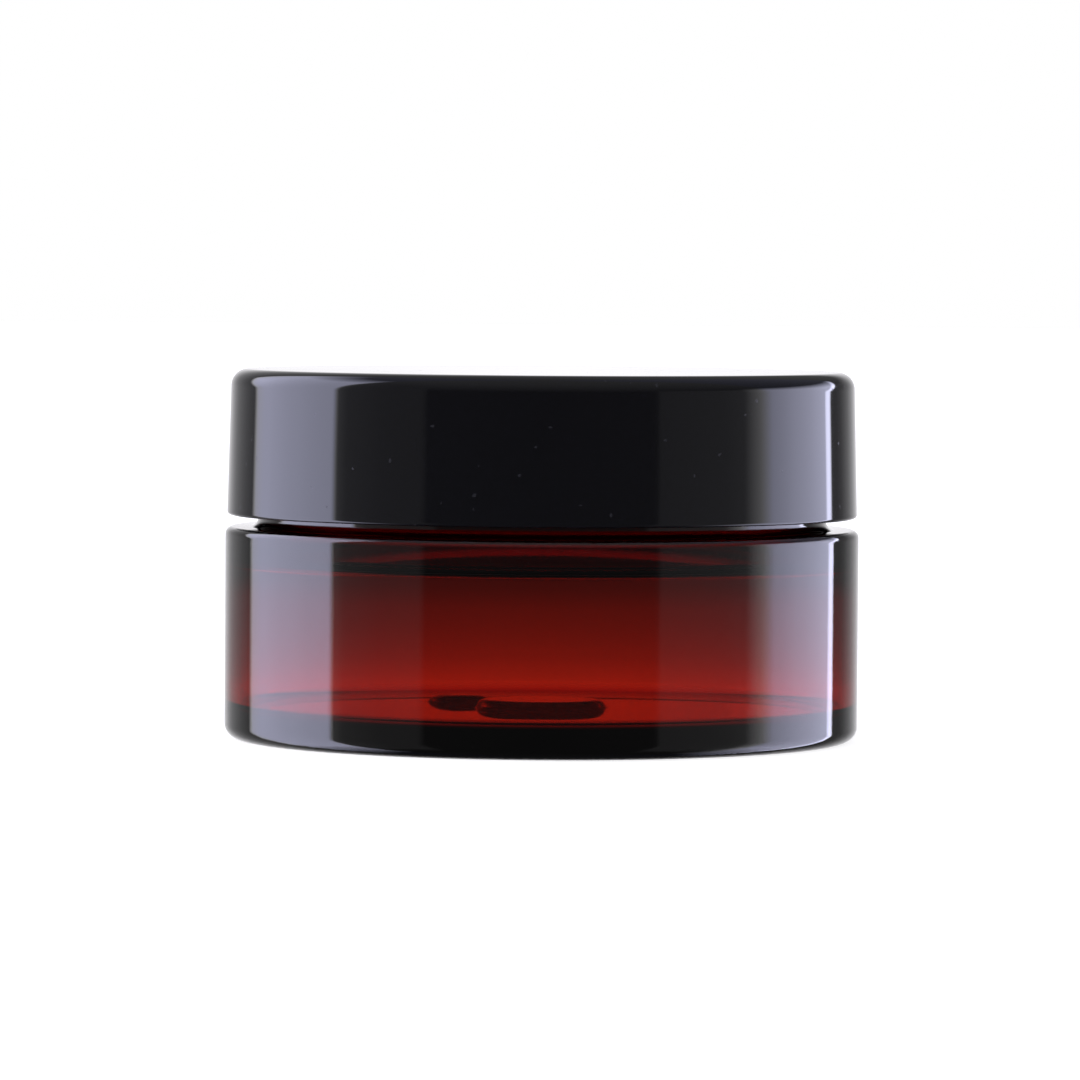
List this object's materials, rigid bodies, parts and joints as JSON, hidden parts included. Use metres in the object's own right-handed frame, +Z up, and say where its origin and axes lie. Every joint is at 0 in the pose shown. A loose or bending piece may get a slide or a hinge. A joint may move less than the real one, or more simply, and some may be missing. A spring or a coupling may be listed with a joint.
{
  "type": "cosmetic cream jar",
  "caption": "Low wide amber jar with a smooth black screw cap, a foam liner and a sealing disc with a fold-up pull tab.",
  "frame": {"origin": "centre of the footprint, on the surface that the jar stands on", "axes": "+Z up along the jar's axis; +X and +Y across it, with the disc's pull tab folding up about +X"},
  "size_m": [0.068, 0.068, 0.0396],
  "materials": {
    "amber_plastic": "clear amber PET, polished",
    "black_gloss": "opaque black, high gloss",
    "black_inner": "opaque black, as moulded",
    "white_foam": "closed-cell foam with a smooth skin",
    "milky_plastic": "milky polypropylene, satin"
  },
  "bodies": {
    "jar": {"jar_body": "amber_plastic"},
    "disc": {"sealing_disc": "milky_plastic"},
    "tab": {"pull_tab": "milky_plastic"},
    "liner": {"foam_liner": "white_foam"},
    "cap": {"cap_shell": "black_gloss", "cap_inner": "black_inner"}
  },
  "joints": [
    {"name": "cap_rise", "type": "slide", "parent": "jar", "child": "liner", "axis": [0, 0, 1], "range_m": [0, 0.024]},
    {"name": "cap_turn", "type": "hinge", "parent": "liner", "child": "cap", "pos_m": [0, 0, 0], "axis": [0, 0, 1], "range_deg": [0, 720]},
    {"name": "disc_lift", "type": "slide", "parent": "jar", "child": "disc", "axis": [0, 0, 1], "range_m": [0, 0.008]},
    {"name": "tab_fold", "type": "hinge", "parent": "disc", "child": "tab", "pos_m": [0, -0.004, 0.0338], "axis": [1, 0, 0], "range_deg": [0, 80]}
  ],
  "couplings": [
    {"joint": "cap_turn", "follows": "cap_rise", "rad_per_m": 523.6},
    {"joint": "disc_lift", "follows": "cap_rise", "ratio": 0.33333},
    {"joint": "tab_fold", "follows": "cap_rise", "rad_per_m": 58.178}
  ]
}
